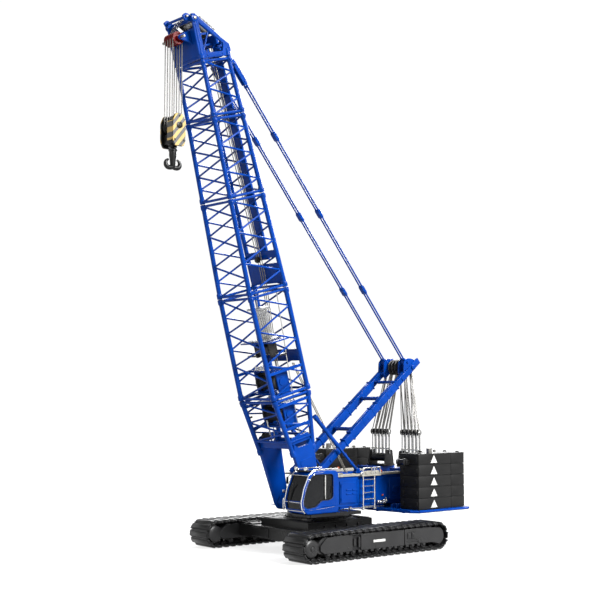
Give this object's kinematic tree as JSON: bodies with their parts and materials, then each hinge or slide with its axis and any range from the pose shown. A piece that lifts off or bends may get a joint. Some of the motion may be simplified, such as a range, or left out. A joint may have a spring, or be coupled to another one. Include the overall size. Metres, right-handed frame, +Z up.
{
  "type": "scale model crawler crane",
  "caption": "Scale model crawler crane with a tall lattice boom, leaning mast with pendants, rope-hung ramshorn hook, side cab and stacked rear counterweights.",
  "frame": {"origin": "on the ground under the centre of the bounding box", "axes": "+X forward, the side the boom leans to; +Y to the operator's left; +Z up"},
  "size_m": [0.3554, 0.198, 0.5634],
  "materials": {
    "blue_paint": "gloss",
    "black_paint": "satin",
    "charcoal_paint": "matte",
    "seat_plastic": "matte",
    "silver_metal": "satin",
    "red_paint": "satin",
    "beige_paint": "satin"
  },
  "bodies": {
    "undercarriage": {"carbody": "black_paint", "slewing_ring": "black_paint", "track_left": "black_paint", "track_right": "black_paint", "track_frame_left": "black_paint", "track_frame_right": "black_paint"},
    "superstructure": {"boom_backstop_left": "blue_paint", "boom_backstop_right": "blue_paint", "cab_seat": "seat_plastic", "cab_shell": "blue_paint", "counterweight_slab_left_1": "charcoal_paint", "counterweight_slab_left_2": "charcoal_paint", "counterweight_slab_left_3": "charcoal_paint", "counterweight_slab_left_4": "charcoal_paint", "counterweight_slab_left_5": "charcoal_paint", "counterweight_slab_right_1": "charcoal_paint", "counterweight_slab_right_2": "charcoal_paint", "counterweight_slab_right_3": "charcoal_paint", "counterweight_slab_right_4": "charcoal_paint", "counterweight_slab_right_5": "charcoal_paint", "counterweight_tray": "blue_paint", "deck_walkway_left": "beige_paint", "deck_walkway_right": "beige_paint", "ladder_and_rails": "silver_metal", "machinery_house_left": "blue_paint", "machinery_house_right": "blue_paint", "reeving_stand_left": "silver_metal", "reeving_stand_right": "silver_metal", "superstructure_frame": "blue_paint"},
    "boom": {"boom_foot": "blue_paint", "boom_section_1": "blue_paint", "boom_section_2": "blue_paint", "boom_section_3": "blue_paint", "boom_section_4": "blue_paint", "boom_walkway": "blue_paint", "boom_head": "blue_paint", "head_rope_guide": "black_paint"},
    "winch_drum_1": {"winch_drum_1": "black_paint"},
    "winch_drum_2": {"winch_drum_2": "black_paint"},
    "head_sheave_pack": {"head_sheaves": "red_paint"},
    "mast": {"mast": "blue_paint"},
    "mast_sheave_pack": {"mast_sheaves": "black_paint"},
    "pendant_left": {"pendant_left": "blue_paint"},
    "pendant_right": {"pendant_right": "blue_paint"},
    "hook_tackle": {"hoist_rope_falls": "silver_metal", "hook_block": "black_paint"},
    "hook": {"hook": "black_paint"}
  },
  "joints": [
    {"name": "slew", "type": "hinge", "parent": "undercarriage", "child": "superstructure", "pos_m": [-0.0317, 0, 0.04], "axis": [0, 0, 1], "continuous": true},
    {"name": "boom_luff", "type": "hinge", "parent": "superstructure", "child": "boom", "pos_m": [-0.0027, 0, 0.05], "axis": [0, 1, 0], "range_deg": [0, 55]},
    {"name": "mast_luff", "type": "hinge", "parent": "superstructure", "child": "mast", "pos_m": [-0.0147, 0, 0.084], "axis": [0, 1, 0], "range_deg": [0, 66]},
    {"name": "pendant_left_pin", "type": "hinge", "parent": "mast", "child": "pendant_left", "pos_m": [-0.15048, 0.0166, 0.20553], "axis": [0, 1, 0], "range_deg": [-11, 0.5]},
    {"name": "pendant_right_pin", "type": "hinge", "parent": "mast", "child": "pendant_right", "pos_m": [-0.15048, -0.0166, 0.20553], "axis": [0, 1, 0], "range_deg": [-11, 0.5]},
    {"name": "hook_hang", "type": "hinge", "parent": "boom", "child": "hook_tackle", "pos_m": [0.16346, 0, 0.53317], "axis": [0, 1, 0], "range_deg": [-56, 1]},
    {"name": "hook_swivel", "type": "hinge", "parent": "hook_tackle", "child": "hook", "pos_m": [0.16346, 0, 0.42], "axis": [0, 0, 1], "continuous": true},
    {"name": "winch_drum_1_spin", "type": "hinge", "parent": "boom", "child": "winch_drum_1", "pos_m": [0.02429, 0, 0.14733], "axis": [0, 1, 0], "continuous": true},
    {"name": "winch_drum_2_spin", "type": "hinge", "parent": "boom", "child": "winch_drum_2", "pos_m": [0.03391, 0, 0.18202], "axis": [0, 1, 0], "continuous": true},
    {"name": "head_sheaves_spin", "type": "hinge", "parent": "boom", "child": "head_sheave_pack", "pos_m": [0.16346, 0, 0.53317], "axis": [0, 1, 0], "continuous": true},
    {"name": "mast_sheaves_spin", "type": "hinge", "parent": "mast", "child": "mast_sheave_pack", "pos_m": [-0.1577, 0, 0.1998], "axis": [0, 1, 0], "continuous": true}
  ],
  "couplings": [
    {"joint": "mast_luff", "follows": "boom_luff", "ratio": 1.1875},
    {"joint": "pendant_left_pin", "follows": "boom_luff", "ratio": -0.185},
    {"joint": "pendant_right_pin", "follows": "boom_luff", "ratio": -0.185},
    {"joint": "hook_hang", "follows": "boom_luff", "ratio": -1}
  ]
}
